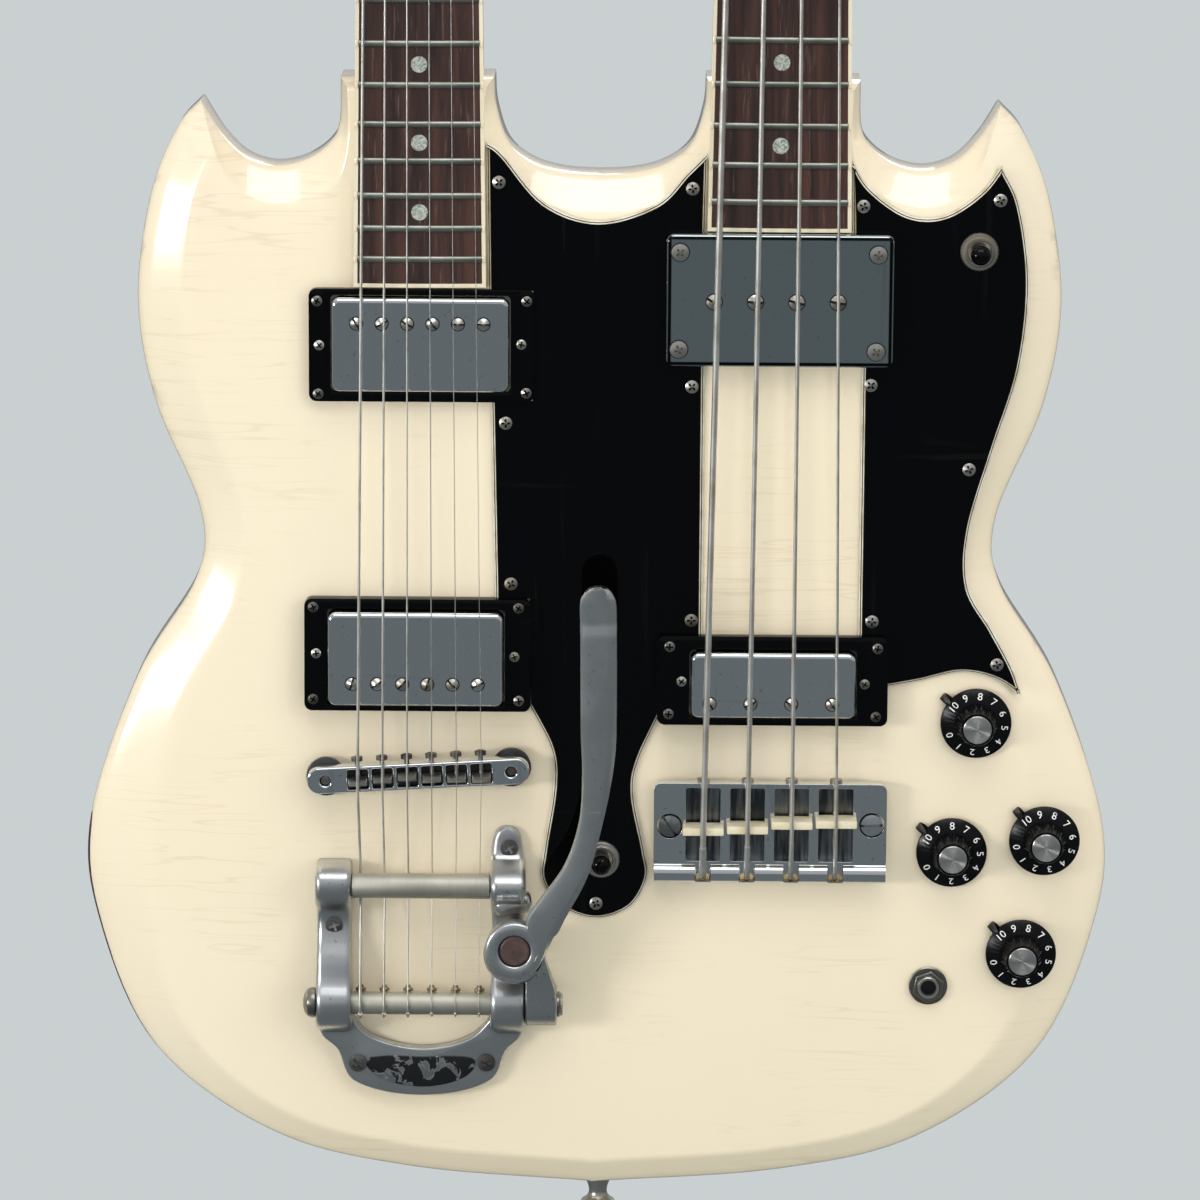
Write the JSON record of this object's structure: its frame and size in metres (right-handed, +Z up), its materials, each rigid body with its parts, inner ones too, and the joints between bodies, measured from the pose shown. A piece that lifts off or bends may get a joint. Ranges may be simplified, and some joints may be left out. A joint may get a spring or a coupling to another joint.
{
  "type": "double-neck electric guitar",
  "caption": "Solid-body electric guitar with a guitar neck and a bass neck, twin horns, chrome pickups, vibrato tailpiece, separate bridges and one pickguard.",
  "frame": {"origin": "on the flat back of the body, on its centre line, at the middle of its height", "axes": "+Z up along the necks, +X to the right seen from the front, +Y out of the back"},
  "size_m": [0.41, 0.1214, 1.1482],
  "materials": {
    "body": "aged cream gloss lacquer over wood",
    "neck_wood": "aged cream gloss lacquer over wood",
    "fingerboard": "oiled rosewood with nickel frets",
    "nut": "satin bone white",
    "black_plate": "satin black",
    "pickguard": "gloss black laminate",
    "pickup_cover": "polished, lightly aged",
    "pickup_ring": "gloss black",
    "bridge": "polished, aged",
    "vibrato_casting": "worn polished casting",
    "vibrato_bars": "satin nickel",
    "spring": "aged nickel",
    "knob": "gloss black, silver cap",
    "switch_nut": "aged nickel",
    "switch_tip": "gloss black",
    "jack": "aged nickel",
    "strap_button": "aged nickel",
    "string": "wound nickel",
    "tuner": "aged nickel",
    "tuner_button": "aged pearl plastic"
  },
  "bodies": {
    "root": {"body": "body", "guitar_neck": "neck_wood", "bass_neck": "neck_wood", "guitar_fingerboard": "fingerboard", "bass_fingerboard": "fingerboard", "guitar_nut": "nut", "bass_nut": "nut", "control_cover": "black_plate", "guitar_truss_cover": "black_plate", "bass_truss_cover": "black_plate", "pickguard": "pickguard", "guitar_neck_pickup": "pickup_cover", "guitar_bridge_pickup": "pickup_cover", "bass_neck_pickup": "pickup_cover", "bass_bridge_pickup": "pickup_cover", "guitar_neck_ring": "pickup_ring", "guitar_bridge_ring": "pickup_ring", "bass_bridge_ring": "pickup_ring", "guitar_bridge": "bridge", "bass_bridge": "bridge", "vibrato_frame": "vibrato_casting", "vibrato_spring": "spring", "toggle_upper_bushing": "switch_nut", "toggle_lower_bushing": "switch_nut", "output_jack": "jack", "strap_button_bottom": "strap_button", "strap_button_heel": "strap_button", "guitar_string_1_e": "string", "guitar_string_2_a": "string", "guitar_string_3_d": "string", "guitar_string_4_g": "string", "guitar_string_5_b": "string", "guitar_string_6_e": "string", "bass_string_1_e": "string", "bass_string_2_a": "string", "bass_string_3_d": "string", "bass_string_4_g": "string", "guitar_tuners_left": "tuner", "guitar_tuners_right": "tuner", "bass_tuners_left": "tuner", "bass_tuners_right": "tuner"},
    "knob_1": {"knob_1": "knob"},
    "knob_2": {"knob_2": "knob"},
    "knob_3": {"knob_3": "knob"},
    "knob_4": {"knob_4": "knob"},
    "toggle_upper": {"toggle_upper_lever": "switch_tip"},
    "toggle_lower": {"toggle_lower_lever": "switch_tip"},
    "roller": {"vibrato_roller_bar": "vibrato_bars"},
    "string_bar": {"vibrato_string_bar": "vibrato_bars"},
    "arm": {"vibrato_arm": "vibrato_casting"},
    "bass_tuner_left_1": {"bass_tuner_button_left_1": "tuner_button"},
    "bass_tuner_left_2": {"bass_tuner_button_left_2": "tuner_button"},
    "bass_tuner_right_1": {"bass_tuner_button_right_1": "tuner_button"},
    "bass_tuner_right_2": {"bass_tuner_button_right_2": "tuner_button"},
    "guitar_tuner_left_1": {"guitar_tuner_button_left_1": "tuner_button"},
    "guitar_tuner_left_2": {"guitar_tuner_button_left_2": "tuner_button"},
    "guitar_tuner_left_3": {"guitar_tuner_button_left_3": "tuner_button"},
    "guitar_tuner_right_1": {"guitar_tuner_button_right_1": "tuner_button"},
    "guitar_tuner_right_2": {"guitar_tuner_button_right_2": "tuner_button"},
    "guitar_tuner_right_3": {"guitar_tuner_button_right_3": "tuner_button"}
  },
  "joints": [
    {"name": "knob_1_turn", "type": "hinge", "parent": "root", "child": "knob_1", "pos_m": [0.1513, -0.038, -0.032], "axis": [0, -1, 0], "range_deg": [0, 270]},
    {"name": "knob_2_turn", "type": "hinge", "parent": "root", "child": "knob_2", "pos_m": [0.1796, -0.038, -0.0801], "axis": [0, -1, 0], "range_deg": [0, 270]},
    {"name": "knob_3_turn", "type": "hinge", "parent": "root", "child": "knob_3", "pos_m": [0.1425, -0.038, -0.0852], "axis": [0, -1, 0], "range_deg": [0, 270]},
    {"name": "knob_4_turn", "type": "hinge", "parent": "root", "child": "knob_4", "pos_m": [0.1711, -0.038, -0.127], "axis": [0, -1, 0], "range_deg": [0, 270]},
    {"name": "toggle_upper_flick", "type": "hinge", "parent": "root", "child": "toggle_upper", "pos_m": [0.1491, -0.036, 0.1579], "axis": [1, 0, 0], "range_deg": [-15, 15]},
    {"name": "toggle_lower_flick", "type": "hinge", "parent": "root", "child": "toggle_lower", "pos_m": [0.0022, -0.036, -0.089], "axis": [1, 0, 0], "range_deg": [-15, 15]},
    {"name": "roller_spin", "type": "hinge", "parent": "root", "child": "roller", "pos_m": [-0.0699, -0.049, -0.0984], "axis": [1, 0, 0], "continuous": true},
    {"name": "string_bar_rock", "type": "hinge", "parent": "root", "child": "string_bar", "pos_m": [-0.0699, -0.049, -0.147], "axis": [1, 0, 0], "range_deg": [-8, 10], "stiffness_Nm_per_rad": 6, "deforming": ["vibrato_spring"]},
    {"name": "arm_swing", "type": "hinge", "parent": "string_bar", "child": "arm", "pos_m": [-0.03195, -0.0632, -0.1199], "axis": [0, -1, 0], "range_deg": [-90, 25]},
    {"name": "bass_tuner_left_1_turn", "type": "hinge", "parent": "root", "child": "bass_tuner_left_1", "pos_m": [0.03908, 0.01268, 0.7671], "axis": [-1, 0, 0.0035], "continuous": true},
    {"name": "bass_tuner_left_2_turn", "type": "hinge", "parent": "root", "child": "bass_tuner_left_2", "pos_m": [0.03928, 0.02952, 0.82469], "axis": [-1, 0, 0.0035], "continuous": true},
    {"name": "bass_tuner_right_1_turn", "type": "hinge", "parent": "root", "child": "bass_tuner_right_1", "pos_m": [0.10608, 0.01268, 0.76687], "axis": [1, 0, -0.0035], "continuous": true},
    {"name": "bass_tuner_right_2_turn", "type": "hinge", "parent": "root", "child": "bass_tuner_right_2", "pos_m": [0.10628, 0.02952, 0.82445], "axis": [1, 0, -0.0035], "continuous": true},
    {"name": "guitar_tuner_left_1_turn", "type": "hinge", "parent": "root", "child": "guitar_tuner_left_1", "pos_m": [-0.10113, 0.00966, 0.63973], "axis": [-1, 0, -0.0035], "continuous": true},
    {"name": "guitar_tuner_left_2_turn", "type": "hinge", "parent": "root", "child": "guitar_tuner_left_2", "pos_m": [-0.10127, 0.02123, 0.67802], "axis": [-1, 0, -0.0035], "continuous": true},
    {"name": "guitar_tuner_left_3_turn", "type": "hinge", "parent": "root", "child": "guitar_tuner_left_3", "pos_m": [-0.1014, 0.03279, 0.71632], "axis": [-1, 0, -0.0035], "continuous": true},
    {"name": "guitar_tuner_right_1_turn", "type": "hinge", "parent": "root", "child": "guitar_tuner_right_1", "pos_m": [-0.04313, 0.00966, 0.63993], "axis": [1, 0, 0.0035], "continuous": true},
    {"name": "guitar_tuner_right_2_turn", "type": "hinge", "parent": "root", "child": "guitar_tuner_right_2", "pos_m": [-0.04327, 0.02123, 0.67822], "axis": [1, 0, 0.0035], "continuous": true},
    {"name": "guitar_tuner_right_3_turn", "type": "hinge", "parent": "root", "child": "guitar_tuner_right_3", "pos_m": [-0.0434, 0.03279, 0.71652], "axis": [1, 0, 0.0035], "continuous": true}
  ]
}
